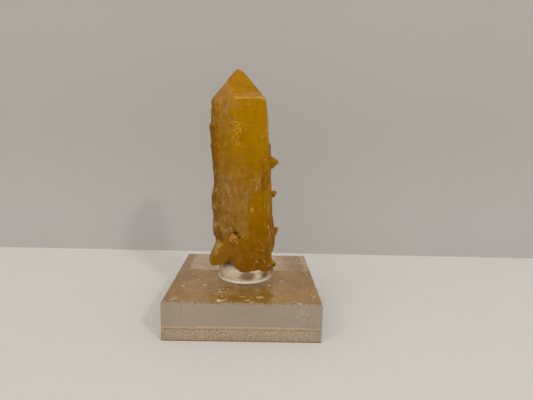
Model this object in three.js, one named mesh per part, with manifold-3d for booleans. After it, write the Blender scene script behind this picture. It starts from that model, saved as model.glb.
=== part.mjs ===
// A single quartz point, stained golden by iron oxide, on its clear acrylic display block.
//
// Four pieces, from the table up: a sheet of brown backing paper, the acrylic block, a round pad
// of clear mounting gel, and the crystal that stands in the gel.
// Units are millimetres, +Z is up, and the origin is the middle of the underside of the paper.
// The main crystal and everything that grew on it are one piece, so they are joined into one solid.

import * as THREE from "three";
import { ConvexGeometry } from "three/addons/geometries/ConvexGeometry.js";
import { mergeVertices } from "three/addons/utils/BufferGeometryUtils.js";
import Module from "manifold-3d";

const wasm = await Module();
wasm.setup();

// ---------------------------------------------------------------- driving dimensions

const BLOCK_SIDE = 50; // the block is square
const BLOCK_THICK = 12; // a stock sheet thickness
const BLOCK_CHAMFER = 0.2; // the edges are broken by scraping, not rounded
const PAPER_THICK = 0.3;
const STAND_TOP = PAPER_THICK + BLOCK_THICK;

const GEL_RADIUS = 10.1; // where the gel meets the block
const GEL_CENTRE = [0, 1.0];
const GEL_GAP = 0.3; // clearance to the crystal that is pressed into it

const LEAN = 3.06; // degrees: the crystal stands a little out of plumb, towards -X
const SHOULDER_X = -3.13; // middle of the prism at the level where the tip begins
const SHOULDER_Z = 75.57; // height of that level
const TWIST = -10.8; // degrees: direction that the +X prism face looks in
const TAPER = 0.91; // degrees: the prism faces close towards the tip
const RHOMB = 38.2; // degrees between quartz's tip faces and its long axis
const PRISM_LENGTH = 68; // past the break at the foot, which trims it

// Distance of each prism face from the axis, at the shoulder, anticlockwise from the +X face,
// and how far above the shoulder the tip face over it begins. No two are alike, as in real quartz.
const PRISM_FACES = [9.7, 5.75, 7.35, 8.95, 7.6, 7.25];
const TIP_STARTS = [-0.95, 4.25, 2.2, 0.43, 0.44, 0.12];

// Between the +X prism face and its tip face lies a third, steeper face.
const STEEP_REACH = 9.17;
const STEEP_SLOPE = 6; // degrees from the long axis

// ---------------------------------------------------------------- small tools

const rad = THREE.MathUtils.degToRad;
const V = (x, y, z) => new THREE.Vector3(x, y, z);

// The plane that looks along normal and passes through point.
function planeAt(normal, point) {
  return new THREE.Plane().setFromNormalAndCoplanarPoint(normal.clone().normalize(), point);
}

// Repeatable random numbers from 0 to 1 (the mulberry32 recurrence).
function randomFrom(seed) {
  let state = seed;
  return () => {
    state = (state + 0x6d2b79f5) | 0;
    let t = Math.imul(state ^ (state >>> 15), 1 | state);
    t = (t + Math.imul(t ^ (t >>> 7), 61 | t)) ^ t;
    return ((t ^ (t >>> 14)) >>> 0) / 4294967296;
  };
}

// A manifold-3d solid from a closed three.js geometry, and back again.
function solidFrom(geometry) {
  const bare = geometry.clone();
  bare.deleteAttribute("normal");
  bare.deleteAttribute("uv");
  const merged = mergeVertices(bare, 1e-4);
  return new wasm.Manifold(
    new wasm.Mesh({
      numProp: 3,
      vertProperties: new Float32Array(merged.attributes.position.array),
      triVerts: new Uint32Array(merged.index.array),
    }),
  );
}

function geometryFrom(solid) {
  const { vertProperties, triVerts } = solid.getMesh();
  const geometry = new THREE.BufferGeometry();
  geometry.setAttribute("position", new THREE.BufferAttribute(vertProperties, 3));
  geometry.setIndex(new THREE.BufferAttribute(triVerts, 1));
  return geometry.toNonIndexed();
}

// The largest of a solid's separate bodies: crumbs that a cut leaves are dropped.
function largestBody(solid) {
  return solid.decompose().sort((a, b) => b.volume() - a.volume())[0];
}

// The convex body that lies behind every plane in the list. Its corners are the points where
// three planes meet and no other plane cuts them off. grow moves each plane outwards.
function convexSolid(planes, grow = 0) {
  const moved = planes.map((p) => new THREE.Plane(p.normal, p.constant - grow));
  const corners = [];
  const crossing = new THREE.Matrix3();
  for (let i = 0; i < moved.length; i++) {
    for (let j = i + 1; j < moved.length; j++) {
      for (let k = j + 1; k < moved.length; k++) {
        const [a, b, c] = [moved[i], moved[j], moved[k]];
        crossing.set(...a.normal.toArray(), ...b.normal.toArray(), ...c.normal.toArray());
        if (Math.abs(crossing.determinant()) < 1e-4) continue;
        const corner = V(-a.constant, -b.constant, -c.constant).applyMatrix3(crossing.invert());
        const kept = moved.every((p) => p.distanceToPoint(corner) < 1e-5);
        if (kept && !corners.some((q) => q.distanceTo(corner) < 1e-3)) corners.push(corner);
      }
    }
  }
  return solidFrom(new ConvexGeometry(corners));
}

// ---------------------------------------------------------------- crystals as lists of planes

// A direction `around` the long axis, in degrees, that rises `rise` degrees towards the tip.
function heading(around, rise) {
  const [a, e] = [rad(around), rad(rise)];
  return V(Math.cos(a) * Math.cos(e), Math.sin(a) * Math.cos(e), Math.sin(e));
}

// Six prism faces and six tip faces round +Z. reach[i] is face i's distance from the axis and
// starts[i] the height where its tip face begins. The far end is cut off at height floor.
function quartzPlanes({ reach, starts, floor, taper = 0 }) {
  const planes = [planeAt(V(0, 0, -1), V(0, 0, floor))];
  for (let i = 0; i < 6; i++) {
    const foot = heading(60 * i, 0).multiplyScalar(reach[i]);
    planes.push(planeAt(heading(60 * i, taper), foot));
    planes.push(planeAt(heading(60 * i, RHOMB), foot.clone().setZ(starts[i])));
  }
  return planes;
}

const placed = (planes, matrix) => planes.map((p) => p.clone().applyMatrix4(matrix));

// A smaller crystal: a point of this radius whose tip lies at `tip`, growing `along`. length runs
// back from the tip, blunt is what is missing from the tip, and uneven varies the six faces.
function companion({ tip, along, radius, length, blunt = 0, turn = 0, uneven = 0.12, seed = 1 }) {
  const random = randomFrom(seed);
  const vary = () => uneven * (2 * random() - 1);
  const reach = Array.from({ length: 6 }, () => radius * (1 + vary()));
  const starts = reach.map(() => radius * vary());
  const height = radius / Math.tan(rad(RHOMB));
  const planes = quartzPlanes({ reach, starts, floor: height - length });
  if (blunt > 0) planes.push(planeAt(V(0.1, 0.15, 1), V(0, 0, height - blunt)));
  const direction = along.clone().normalize();
  const facing = new THREE.Quaternion().setFromUnitVectors(V(0, 0, 1), direction);
  const spin = new THREE.Quaternion().setFromAxisAngle(V(0, 0, 1), rad(turn));
  const origin = tip.clone().addScaledVector(direction, -height);
  return placed(planes, new THREE.Matrix4().compose(origin, facing.multiply(spin), V(1, 1, 1)));
}

// ---------------------------------------------------------------- the main crystal

// From the crystal's own frame (axis up, shoulder at 0) to the part's frame.
const UPRIGHT = new THREE.Matrix4().compose(
  V(SHOULDER_X, 0, SHOULDER_Z),
  new THREE.Quaternion().setFromEuler(new THREE.Euler(0, rad(-LEAN), 0)),
  V(1, 1, 1),
);
const TWISTED = UPRIGHT.clone().multiply(new THREE.Matrix4().makeRotationZ(rad(TWIST)));

// The foot is a break, so slanting planes cut it: [which way the plane looks, a point on it].
const BREAKS = [
  [V(-0.02, -0.08, -1), V(2, -7, 16.3)],
  [V(0.12, 0.3, -1), V(4, 4, 15.3)],
  [V(-0.58, -0.1, -0.82), V(-2.2, -7, 17.2)],
  [V(-0.5, 0.35, -0.8), V(-5, 4, 17.4)],
  [V(0.45, -0.2, -0.87), V(9.0, -3, 15.1)],
  [V(1, 0, -0.02), V(9.3, 0, 19)],
];

function mainPlanes() {
  const planes = quartzPlanes({
    reach: PRISM_FACES,
    starts: TIP_STARTS,
    floor: -PRISM_LENGTH,
    taper: TAPER,
  });
  planes.push(planeAt(heading(0, STEEP_SLOPE), V(STEEP_REACH, 0, 0)));
  return [...placed(planes, TWISTED), ...BREAKS.map(([normal, point]) => planeAt(normal, point))];
}

// A point on the main prism: around is the direction from its axis in degrees, down the distance
// below the shoulder. out lifts the point off the face.
function onPrism(around, down, out = 0) {
  let distance = Infinity;
  PRISM_FACES.forEach((reach, i) => {
    const facing = Math.cos(rad(around - 60 * i - TWIST));
    if (facing > 0.05) distance = Math.min(distance, (reach + down * Math.tan(rad(TAPER))) / facing);
  });
  const point = heading(around, 0).multiplyScalar(distance + out);
  return point.setZ(-down).applyMatrix4(UPRIGHT);
}

const fromMain = (around, rise) => heading(around, rise).transformDirection(UPRIGHT);

// ---------------------------------------------------------------- what grew on the main crystal

// The short side crystals at the foot grew down and outwards, and are snapped off flat. The second
// one fills the hollow between the first and the main crystal.
const SIDE_CRYSTALS = [
  { tip: V(-12.6, -5.3, 13.0), along: V(-0.4, -0.1, -0.91), radius: 3.2, length: 14.5, turn: 18 },
  { tip: V(-9.8, -5.75, 12.4), along: V(-0.4, -0.1, -0.91), radius: 3.2, length: 16, turn: 18 },
];
const SIDE_BREAKS = [
  [V(0.115, 0.1, -1), V(-10.9, -8, 18.35)],
  [V(-1, -0.25, 0), V(-12.4, -5, 19)],
  [V(0.76, 0, -0.65), V(-6.4, -8, 19.7)],
];

// Crystals that stand out by themselves.
const SPURS = [
  // two thirds of the way up the +X flank
  { tip: V(11.5, -0.4, 55.1), along: V(1, -0.05, 0.12), radius: 2.1, length: 6, blunt: 0.5 },
  // the peg on the lower blade
  { tip: V(11.35, -0.4, 30.6), along: V(0.36, -0.05, 0.93), radius: 0.5, length: 4.5, blunt: 0.3 },
  // low on the back
  { tip: V(5.5, 8.2, 30.5), along: V(0.4, 0.8, 0.5), radius: 1.6, length: 6 },
  { tip: V(-6.5, 9.4, 44.5), along: V(-0.3, 0.9, 0.45), radius: 1.2, length: 5 },
];

// Nodules, each of two blunt crystals grown through each other.
const NODULES = [
  { at: V(9.0, -0.6, 43.4), size: 0.66 },
  { at: V(-3.75, -8.5, 28.7), size: 1.25 },
];

// The pit that the second nodule sits in, and a notch in the edge of the foot.
const PITS = [
  { tip: V(-3.3, -6.7, 29.7), along: V(0.1, 0.98, -0.1), radius: 1.8, length: 5.2, uneven: 0.15 },
  { tip: V(4.9, -7.1, 17.9), along: V(0, 0.05, 1), radius: 1.4, length: 5, uneven: 0.15 },
];

// Crystals that grew side by side with the main one, as shallow steps on its flanks: around and
// down say where the step's shoulder is, and out how far it stands proud.
const STEPS = [
  // the -X edge
  { around: 190, down: 2.4, out: 0.2, radius: 2.4, length: 9 },
  { around: 191, down: 8.0, out: 0.72, radius: 2.1, length: 10, rise: 86.5 },
  { around: 192, down: 14.2, out: 0.8, radius: 1.9, length: 13, rise: 86.5 },
  { around: 190, down: 32.0, out: 0.72, radius: 2.6, length: 15, rise: 89 },
  { around: 193, down: 43.0, out: 0.95, radius: 2.0, length: 6.6, rise: 85 },
  { around: 201, down: 20.0, out: 0.3, radius: 1.3, length: 12 },
  { around: 182, down: 37.0, out: 0.7, radius: 1.5, length: 9, rise: 87 },
  // the +X face
  { around: -4, down: 15.2, out: 0.55, radius: 1.2, length: 8, rise: 88 },
  { around: -7, down: 46.0, out: 0.6, radius: 1.6, length: 6.6, rise: 88 },
  { around: -4, down: 41.0, out: 0.35, radius: 1.2, length: 12 },
  { around: -16, down: 27.0, out: 0.2, radius: 1.0, length: 16 },
  // the back
  { around: 70, down: 12.0, out: 0.6, radius: 2.2, length: 20, rise: 88.5 },
  { around: 104, down: 26.0, out: 0.7, radius: 2.6, length: 22, rise: 88.5 },
  { around: 140, down: 9.0, out: 0.6, radius: 2.2, length: 17, rise: 88.5 },
  { around: 46, down: 34.0, out: 0.5, radius: 1.8, length: 18, rise: 88.5 },
];

// Crusts of small crystals: around and down give the stretch of surface, rise how steeply they
// point up the crystal, stretch their length in radii, and out how far they stand off.
const CRUSTS = [
  // the -X edge
  { count: 30, around: [170, 206], down: [4, 50], rise: [74, 88], radius: [0.7, 1.4],
    stretch: 3.0, out: 0.1, seed: 11 },
  // the face between the -X edge and the front
  { count: 16, around: [208, 244], down: [4, 50], rise: [76, 88], radius: [0.7, 1.2],
    stretch: 2.6, out: 0.05, seed: 23 },
  // the +X face
  { count: 16, around: [-28, 12], down: [16, 50], rise: [85, 89], radius: [0.6, 1.0],
    stretch: 6.0, out: 0.05, seed: 37 },
  // the back
  { count: 20, around: [60, 150], down: [8, 54], rise: [70, 88], radius: [0.8, 1.5],
    stretch: 3.4, out: 0.1, seed: 41 },
  // round the foot
  { count: 18, around: [-66, -38], down: [51, 56.5], rise: [-40, 60], radius: [0.5, 0.9],
    stretch: 3.0, out: 0.4, seed: 59 },
  { count: 12, around: [30, 170], down: [50, 55], rise: [-50, 45], radius: [0.6, 1.1],
    stretch: 3.0, out: 0.4, seed: 67 },
];

const BURIED = 0.72; // share of its own radius that a crust crystal's axis lies below the surface

function stepPlanes({ around, down, out, radius, length, rise = 90 }, index) {
  const along = fromMain(around, rise);
  const shoulder = onPrism(around, down, out - radius);
  const tip = shoulder.addScaledVector(along, radius / Math.tan(rad(RHOMB)));
  return companion({ tip, along, radius, length, turn: TWIST, uneven: 0.08, seed: 300 + index });
}

function crustPlanes(crust) {
  const random = randomFrom(crust.seed);
  const between = ([low, high]) => low + (high - low) * random();
  return Array.from({ length: crust.count }, (_, i) => {
    const around = between(crust.around);
    const down = between(crust.down);
    const radius = between(crust.radius);
    const along = fromMain(around + 30 * (random() - 0.5), between(crust.rise));
    const depth = radius * BURIED * Math.abs(along.z) - crust.out * random();
    const tip = onPrism(around, down, -depth).addScaledVector(along, radius * 1.2);
    const length = radius * crust.stretch;
    const turn = TWIST + 8 * random();
    return companion({ tip, along, radius, length, turn, uneven: 0.2, seed: 100 * crust.seed + i });
  });
}

function nodulePlanes({ at, size }, index) {
  return [V(0.3, -0.5, 0.8), V(-0.5, -0.4, -0.75)].map((along, i) => {
    const tip = at.clone().addScaledVector(along.clone().normalize(), size * 1.25);
    return companion({ tip, along, radius: size, length: size * 2.4, seed: 700 + 10 * index + i });
  });
}

// ---------------------------------------------------------------- the four pieces

const sideBreaks = SIDE_BREAKS.map(([normal, point]) => planeAt(normal, point));
const crystals = [
  mainPlanes(),
  ...SIDE_CRYSTALS.map((side, i) => [...companion({ ...side, seed: 500 + i }), ...sideBreaks]),
  ...SPURS.map((spur, i) => companion({ ...spur, seed: 520 + i })),
  ...STEPS.map(stepPlanes),
  ...CRUSTS.flatMap(crustPlanes),
];
const nodules = NODULES.flatMap(nodulePlanes);

function quartzCrystal() {
  const grown = wasm.Manifold.union(crystals.map((planes) => convexSolid(planes)));
  const pits = PITS.map((pit, i) => convexSolid(companion({ ...pit, seed: 610 + i })));
  const pitted = grown.subtract(wasm.Manifold.union(pits));
  const whole = wasm.Manifold.union([pitted, ...nodules.map((planes) => convexSolid(planes))]);
  return largestBody(whole);
}

// The gel pad has a steep round wall, and rises in the middle to the crystal pressed into it.
// Each pair is how far inside the pad's foot, and how far above the block.
const GEL_PROFILE = [
  [0.25, 0],
  [0, 0.5],
  [0.1, 1.5],
  [0.4, 2.4],
  [0.95, 3.2],
  [1.9, 3.9],
  [3.2, 4.6],
  [4.4, 5.5],
  [5.4, 6.6],
  [6.4, 7.3],
];

function mountingGel() {
  const wall = GEL_PROFILE.map(([inside, up]) => new THREE.Vector2(GEL_RADIUS - inside, up));
  const top = GEL_PROFILE.at(-1)[1];
  const profile = [new THREE.Vector2(0, 0), ...wall, new THREE.Vector2(0, top)];
  const pad = new THREE.LatheGeometry(profile, 48);
  pad.rotateX(Math.PI / 2);
  pad.translate(...GEL_CENTRE, STAND_TOP);
  const near = crystals
    .map((planes) => convexSolid(planes, GEL_GAP))
    .filter((crystal) => crystal.boundingBox().min[2] < STAND_TOP + top + GEL_GAP);
  return largestBody(solidFrom(pad).subtract(wasm.Manifold.union(near)));
}

// A square sheet whose edges are all chamfered by the same amount.
function squareSheet(side, thick, chamfer = 0) {
  const half = side / 2 - chamfer;
  const outline = new THREE.Shape()
    .moveTo(-half, -half)
    .lineTo(half, -half)
    .lineTo(half, half)
    .lineTo(-half, half)
    .closePath();
  return new THREE.ExtrudeGeometry(outline, {
    depth: thick - 2 * chamfer,
    bevelEnabled: chamfer > 0,
    bevelThickness: chamfer,
    bevelSize: chamfer,
    bevelSegments: 1,
  }).translate(0, 0, chamfer);
}

function piece(name, geometry, finish) {
  const mesh = new THREE.Mesh(geometry, new THREE.MeshStandardMaterial(finish));
  mesh.name = name;
  return mesh;
}

const KRAFT = { color: 0x9c7448, roughness: 0.9, metalness: 0 };
const ACRYLIC = { color: 0xd8cdbb, roughness: 0.05, metalness: 0, transparent: true, opacity: 0.35 };
const GEL = { color: 0xe9e4da, roughness: 0.1, metalness: 0, transparent: true, opacity: 0.4 };
const QUARTZ = { color: 0x9b6a12, roughness: 0.3, metalness: 0 };

const block = piece("acrylic_block", squareSheet(BLOCK_SIDE, BLOCK_THICK, BLOCK_CHAMFER), ACRYLIC);
block.position.z = PAPER_THICK;

const specimen = new THREE.Group();
specimen.add(
  piece("backing_paper", squareSheet(BLOCK_SIDE, PAPER_THICK), KRAFT),
  block,
  piece("mounting_gel", geometryFrom(mountingGel()), GEL),
  piece("quartz_crystal", geometryFrom(quartzCrystal()), QUARTZ),
);

export default specimen;
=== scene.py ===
# %% [markdown]
# # A golden quartz point on a clear display block
#
# The specimen is one quartz crystal, stained golden by iron oxide, that stands in a pad of clear gel
# on a square acrylic block. A sheet of brown paper is still stuck under the block. The frame holds
# these four pieces as plain faceted solids at their true size. This notebook gives each one its real
# surface, adds the dust and lint on the block, stages it all on a table in front of a wall, and lights
# it softly.
#
# Everything is in metres in the frame's own axes: +Z up, -Y towards the viewer.

# %% Load the frame
import math

import bmesh
import bpy
from mathutils import Matrix, Vector
from mathutils.noise import noise as cloud_noise


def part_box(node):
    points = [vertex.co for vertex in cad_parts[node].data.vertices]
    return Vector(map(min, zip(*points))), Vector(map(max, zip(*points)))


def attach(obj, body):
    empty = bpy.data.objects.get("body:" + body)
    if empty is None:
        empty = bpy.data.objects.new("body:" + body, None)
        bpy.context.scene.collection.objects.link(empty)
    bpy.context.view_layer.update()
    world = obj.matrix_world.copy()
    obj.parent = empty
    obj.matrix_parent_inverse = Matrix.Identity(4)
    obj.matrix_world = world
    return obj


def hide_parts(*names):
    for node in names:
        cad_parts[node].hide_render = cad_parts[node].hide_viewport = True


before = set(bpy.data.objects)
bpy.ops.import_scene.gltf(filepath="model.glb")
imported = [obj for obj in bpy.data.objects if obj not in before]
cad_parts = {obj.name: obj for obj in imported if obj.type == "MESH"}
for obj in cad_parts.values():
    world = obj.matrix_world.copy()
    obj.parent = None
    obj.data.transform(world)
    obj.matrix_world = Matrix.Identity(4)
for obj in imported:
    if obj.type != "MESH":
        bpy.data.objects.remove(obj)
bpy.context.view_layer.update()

MM = 0.001
for name in sorted(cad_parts):
    low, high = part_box(name)
    print(f"{name}: {[round(v / MM, 2) for v in Vector(high) - Vector(low)]} mm")

# %% [markdown]
# ## Writing node trees in few words
#
# The shapes and the finishes below are node trees. A few helpers keep them readable: add() makes a node
# and fills its inputs from values or from other nodes' outputs, and the others each make one common
# sum. They work in Geometry Nodes and in shaders alike.

# %% Helpers for node trees
def shown(sockets, key=None):
    """The socket with that number or name. Without a key, the first that is in use."""
    if isinstance(key, int):
        return sockets[key]
    return next(s for s in sockets if s.enabled and key in (None, s.name))


def add(tree, kind, inputs=None, **settings):
    """Adds a node. inputs maps a socket's name or number to a value or to another node's output."""
    node = tree.nodes.new(kind)
    for name, value in settings.items():
        setattr(node, name, value)
    for key, value in (inputs or {}).items():
        if isinstance(value, bpy.types.NodeSocket):
            tree.links.new(value, shown(node.inputs, key))
        else:
            shown(node.inputs, key).default_value = value
    return node


def maths(tree, operation, *values):
    """The result of a Math node."""
    return add(tree, "ShaderNodeMath", dict(enumerate(values)), operation=operation).outputs[0]


def vectors(tree, operation, *values):
    """The result of a Vector Math node, which is a number for a dot product or a length."""
    node = add(tree, "ShaderNodeVectorMath", dict(enumerate(values)), operation=operation)
    return shown(node.outputs)


def chained(tree, operation, values):
    """The first value, joined to each of the others in turn by a Math node."""
    result = values[0]
    for value in values[1:]:
        result = maths(tree, operation, result, value)
    return result


def product(tree, *values):
    """All the values multiplied together."""
    return chained(tree, "MULTIPLY", values)


def total(tree, *values):
    """All the values added together."""
    return chained(tree, "ADD", values)


def any_of(tree, *masks):
    """The largest of several masks."""
    return chained(tree, "MAXIMUM", masks)


print("node helpers ready")

# %% [markdown]
# ## Masks and patterns
#
# A mask is a number that is 1 where something happens and 0 elsewhere. Most come from ramp(), which
# turns any measure into one. A pattern is read from a place, which is a position in whatever axes and
# unit suit the piece.

# %% Helpers for masks and patterns
def ramp(tree, value, here, there, start=0.0, end=1.0, curve="SMOOTHSTEP"):
    """Goes from start to end while value goes from here to there, and is level beyond them."""
    inputs = {"Value": value, "From Min": here, "From Max": there, "To Min": start, "To Max": end}
    return add(tree, "ShaderNodeMapRange", inputs, interpolation_type=curve).outputs[0]


def band(tree, value, low, high, soft):
    """1 where value lies between low and high, with edges that fade over soft."""
    return product(tree, ramp(tree, value, low - soft, low), ramp(tree, value, high + soft, high))


def noise(tree, place, scale, detail=2.0):
    """Soft noise that mostly runs from 0.3 to 0.7. Its features are about 1/scale long."""
    inputs = {"Vector": place, "Scale": scale, "Detail": detail}
    return add(tree, "ShaderNodeTexNoise", inputs).outputs[0]


def swing(tree, place, scale, detail):
    """The same noise about 0, so that it mostly runs from -0.2 to 0.2."""
    return maths(tree, "SUBTRACT", noise(tree, place, scale, detail), 0.5)


def cells(tree, place, size):
    """Cells about size across: 0 at each one's middle, and more towards its border."""
    inputs = {"Vector": place, "Scale": 1 / size, "Smoothness": 0.35, "Randomness": 1.0}
    return add(tree, "ShaderNodeTexVoronoi", inputs, feature="SMOOTH_F1").outputs["Distance"]


print("pattern helpers ready")


# %% Helpers for places
def squeezed(tree, place, x, y, z):
    """place with each axis multiplied, so that a pattern read from it is finer along a large one."""
    return vectors(tree, "MULTIPLY", place, (x, y, z))


def scaled(tree, vector, factor):
    """A vector multiplied by a number."""
    node = add(tree, "ShaderNodeVectorMath", {0: vector, "Scale": factor}, operation="SCALE")
    return shown(node.outputs)


def along(tree, vector, axis):
    """How far a vector reaches along an axis."""
    return vectors(tree, "DOT_PRODUCT", vector, axis)


def up_axis(tree, place):
    """The z of a place."""
    return add(tree, "ShaderNodeSeparateXYZ", {0: place}).outputs["Z"]


def apart(tree, place, middle):
    """The distance between two places."""
    return vectors(tree, "LENGTH", vectors(tree, "SUBTRACT", place, middle))


print("place helpers ready")


# %% Helpers for colours
def linear(red, green, blue):
    """A colour as a screen shows it, from 0 to 255, in Blender's linear values."""
    return tuple(
        value / 12.92 if value <= 0.04045 else ((value + 0.055) / 1.055) ** 2.4
        for value in (red / 255, green / 255, blue / 255)
    )


def blend(tree, factor, first, second):
    """Mixes two colours: factor 0 gives the first."""
    node = add(tree, "ShaderNodeMix", {"Factor": factor}, data_type="RGBA")
    for key, value in (("A", first), ("B", second)):
        socket = shown(node.inputs, key)
        if isinstance(value, bpy.types.NodeSocket):
            tree.links.new(value, socket)
        else:
            socket.default_value = (*value, 1.0)
    return shown(node.outputs)


def coats(tree, colour, layers):
    """Lays colours over one another. Each layer is a mask, how much of it shows, and its colour."""
    for mask, share, over in layers:
        colour = blend(tree, product(tree, mask, share), colour, linear(*over))
    return colour


def graded(tree, value, stops):
    """A colour that changes with value. stops is a list of (value, colour), lowest first."""
    low, high = stops[0][0], stops[-1][0]
    spread = ramp(tree, value, low, high, curve="LINEAR")
    node = add(tree, "ShaderNodeValToRGB", {0: spread})
    marks = node.color_ramp.elements
    while len(marks) < len(stops):
        marks.new(1.0)
    for mark, (at, colour) in zip(marks, stops):
        mark.position = (at - low) / (high - low)
        mark.color = (*colour, 1.0)
    return node.outputs["Color"]


def graded_colour(tree, value, stops):
    """As graded(), with the colours as a screen shows them."""
    return graded(tree, value, [(at, linear(*colour)) for at, colour in stops])


def graded_share(tree, value, stops):
    """A number that changes with value. stops is a list of (value, number), lowest first."""
    return graded(tree, value, [(at, (share, share, share)) for at, share in stops])


print("colour helpers ready")

# %% [markdown]
# ## Effects that several finishes share
#
# A group is a small tree that other trees use as if it were one node. What more than one material needs
# is built once as a group, and each material places it with its own values. The first is the ragged
# patch: an oval spot with a torn edge. The stone's veils and bruises and the tints inside the gel are
# all such patches. Shape trees can't hold a shader group, so there the same sum is written out.

# %% A group for ragged patches
def finish_group(name, output, kind, **inputs):
    """A group of shader nodes with one output. inputs maps the names of its inputs to their kinds."""
    tree = bpy.data.node_groups.new(name, "ShaderNodeTree")
    for label, socket in inputs.items():
        tree.interface.new_socket(label, in_out="INPUT", socket_type="NodeSocket" + socket)
    tree.interface.new_socket(output, in_out="OUTPUT", socket_type="NodeSocket" + kind)
    return tree, add(tree, "NodeGroupInput").outputs, add(tree, "NodeGroupOutput").inputs[0]


def placed(tree, group, inputs):
    """Places a group in a material, and gives what it puts out."""
    return add(tree, "ShaderNodeGroup", inputs, node_tree=group).outputs[0]


def patch_sum(tree, place, middle, radii, ragged, core):
    """The nodes that make a ragged patch."""
    offset = vectors(tree, "DIVIDE", vectors(tree, "SUBTRACT", place, middle), radii)
    torn = product(tree, swing(tree, place, 0.6, 3), ragged, 2.0)
    return ramp(tree, total(tree, vectors(tree, "LENGTH", offset), torn), 1.15, core)


PATCH_INPUTS = {
    "Place": "Vector", "Middle": "Vector", "Radii": "Vector", "Ragged": "Float", "Core": "Float",
}
PATCH, given, end = finish_group("Ragged patch", "Mask", "Float", **PATCH_INPUTS)
PATCH.links.new(patch_sum(PATCH, *(given[label] for label in PATCH_INPUTS)), end)


def patch(tree, place, middle, radii, ragged=0.5, core=0.45):
    """1 inside a soft oval, in millimetres, with a ragged edge, and 0 outside it.

    core is the share of the radii over which it is fully 1.
    """
    if tree.type == "GEOMETRY":
        return patch_sum(tree, place, middle, radii, ragged, core)
    return placed(tree, PATCH, dict(zip(PATCH_INPUTS, (place, middle, radii, ragged, core))))


print(f"{PATCH.name}: {len(PATCH.nodes)} nodes")

# %% [markdown]
# ## Making pieces
#
# Each piece starts as plain mesh and may then go through modifiers. A modifier that is a node tree gets
# its sizes by name. At the end settle() turns the result into plain mesh again, because instances and
# live modifiers would be lost when the model leaves Blender.

# %% Helpers for trees that make shapes
def shape_tree(name, **values):
    """A Geometry Nodes tree with a named input for each value. Returns it, its inputs and its end."""
    tree = bpy.data.node_groups.new(name, "GeometryNodeTree")
    tree.interface.new_socket("Geometry", in_out="INPUT", socket_type="NodeSocketGeometry")
    tree.interface.new_socket("Geometry", in_out="OUTPUT", socket_type="NodeSocketGeometry")
    for label, value in values.items():
        kind = "NodeSocketInt" if isinstance(value, int) else "NodeSocketFloat"
        tree.interface.new_socket(label, in_out="INPUT", socket_type=kind).default_value = value
    return tree, add(tree, "NodeGroupInput").outputs, add(tree, "NodeGroupOutput").inputs


def close_tree(tree, geometry, end, material):
    """Ends a tree: instances become real meshes, and everything gets the material."""
    real = add(tree, "GeometryNodeRealizeInstances", {"Geometry": geometry})
    coated = add(tree, "GeometryNodeSetMaterial", {"Geometry": real.outputs[0], "Material": material})
    tree.links.new(coated.outputs[0], end["Geometry"])


def position_of(tree):
    """Where each point is."""
    return add(tree, "GeometryNodeInputPosition").outputs[0]


def normal_of(tree):
    """Which way the surface looks at each point."""
    return add(tree, "GeometryNodeInputNormal").outputs[0]


def moved(tree, geometry, **where):
    """The geometry with its points moved by an Offset or to a Position."""
    return add(tree, "GeometryNodeSetPosition", {"Geometry": geometry, **where}).outputs[0]


def random_value(tree, low, high, seed, **settings):
    """A random value for each point, between low and high."""
    node = add(tree, "FunctionNodeRandomValue", {"Min": low, "Max": high, "Seed": seed}, **settings)
    return shown(node.outputs)


print("shape helpers ready")


# %% Helpers for pieces
def grow(piece, tree, **values):
    """Puts a tree on a piece as a modifier and sets its inputs, which are found by their names."""
    modifier = piece.modifiers.new(tree.name, "NODES")
    modifier.node_group = tree
    for item in tree.interface.items_tree:
        if item.in_out == "INPUT" and item.name in values:
            modifier[item.identifier] = values[item.name]


def new_piece(name, mesh):
    """An object at the origin that shows mesh."""
    piece = bpy.data.objects.new(name, mesh)
    bpy.context.scene.collection.objects.link(piece)
    return piece


def as_mesh(shape, name):
    """Turns a bmesh into a mesh, and frees it."""
    mesh = bpy.data.meshes.new(name)
    shape.to_mesh(mesh)
    shape.free()
    return mesh


def merged_copy(node, name):
    """A new piece with a copy of a frame node's mesh, its loose triangles joined."""
    shape = bmesh.new()
    shape.from_mesh(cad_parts[node].data)
    bmesh.ops.remove_doubles(shape, verts=shape.verts, dist=0.0001 * MM)
    return new_piece(name, as_mesh(shape, name))


def settle(piece):
    """Turns a piece's modifiers into plain mesh and takes them off."""
    graph = bpy.context.evaluated_depsgraph_get()
    mesh = bpy.data.meshes.new_from_object(piece.evaluated_get(graph))
    mesh.name = piece.name
    if piece.type == "CURVE":
        name = piece.name
        bpy.data.objects.remove(piece)
        piece = new_piece(name, mesh)
    piece.modifiers.clear()
    piece.data = mesh
    triangles = sum(len(face.vertices) - 2 for face in mesh.polygons)
    print(f"{piece.name}: {triangles} triangles")
    return piece


print("piece helpers ready")

# %% [markdown]
# ## The crystal's own frame
#
# A quartz crystal has a long axis, and its six prism faces stand round it at 60 degrees to each other.
# This one leans a little, so patterns that belong to the crystal, such as growth lines, must lean with
# it. crystal_place() turns a position in the frame into millimetres in the crystal's own axes: x looks
# out of prism face 0, and z runs up the crystal from the level where the tip begins.

# %% The crystal's axes
LEAN = math.radians(3.06)  # towards -X
TWIST = math.radians(-10.8)  # from +X to where prism face 0 looks
SHOULDER = Vector((-3.13, 0, 75.57)) * MM
TURN = Matrix.Rotation(-LEAN, 3, "Y") @ Matrix.Rotation(TWIST, 3, "Z")
AXES = [TURN @ Vector(axis) for axis in ((1, 0, 0), (0, 1, 0), (0, 0, 1))]
COS_30 = math.cos(math.radians(30))


def crystal_place(tree, position):
    """A position in the crystal's own axes, in millimetres."""
    offset = vectors(tree, "SUBTRACT", position, SHOULDER)
    parts = [along(tree, offset, axis / MM) for axis in AXES]
    return add(tree, "ShaderNodeCombineXYZ", dict(enumerate(parts))).outputs[0]


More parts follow.
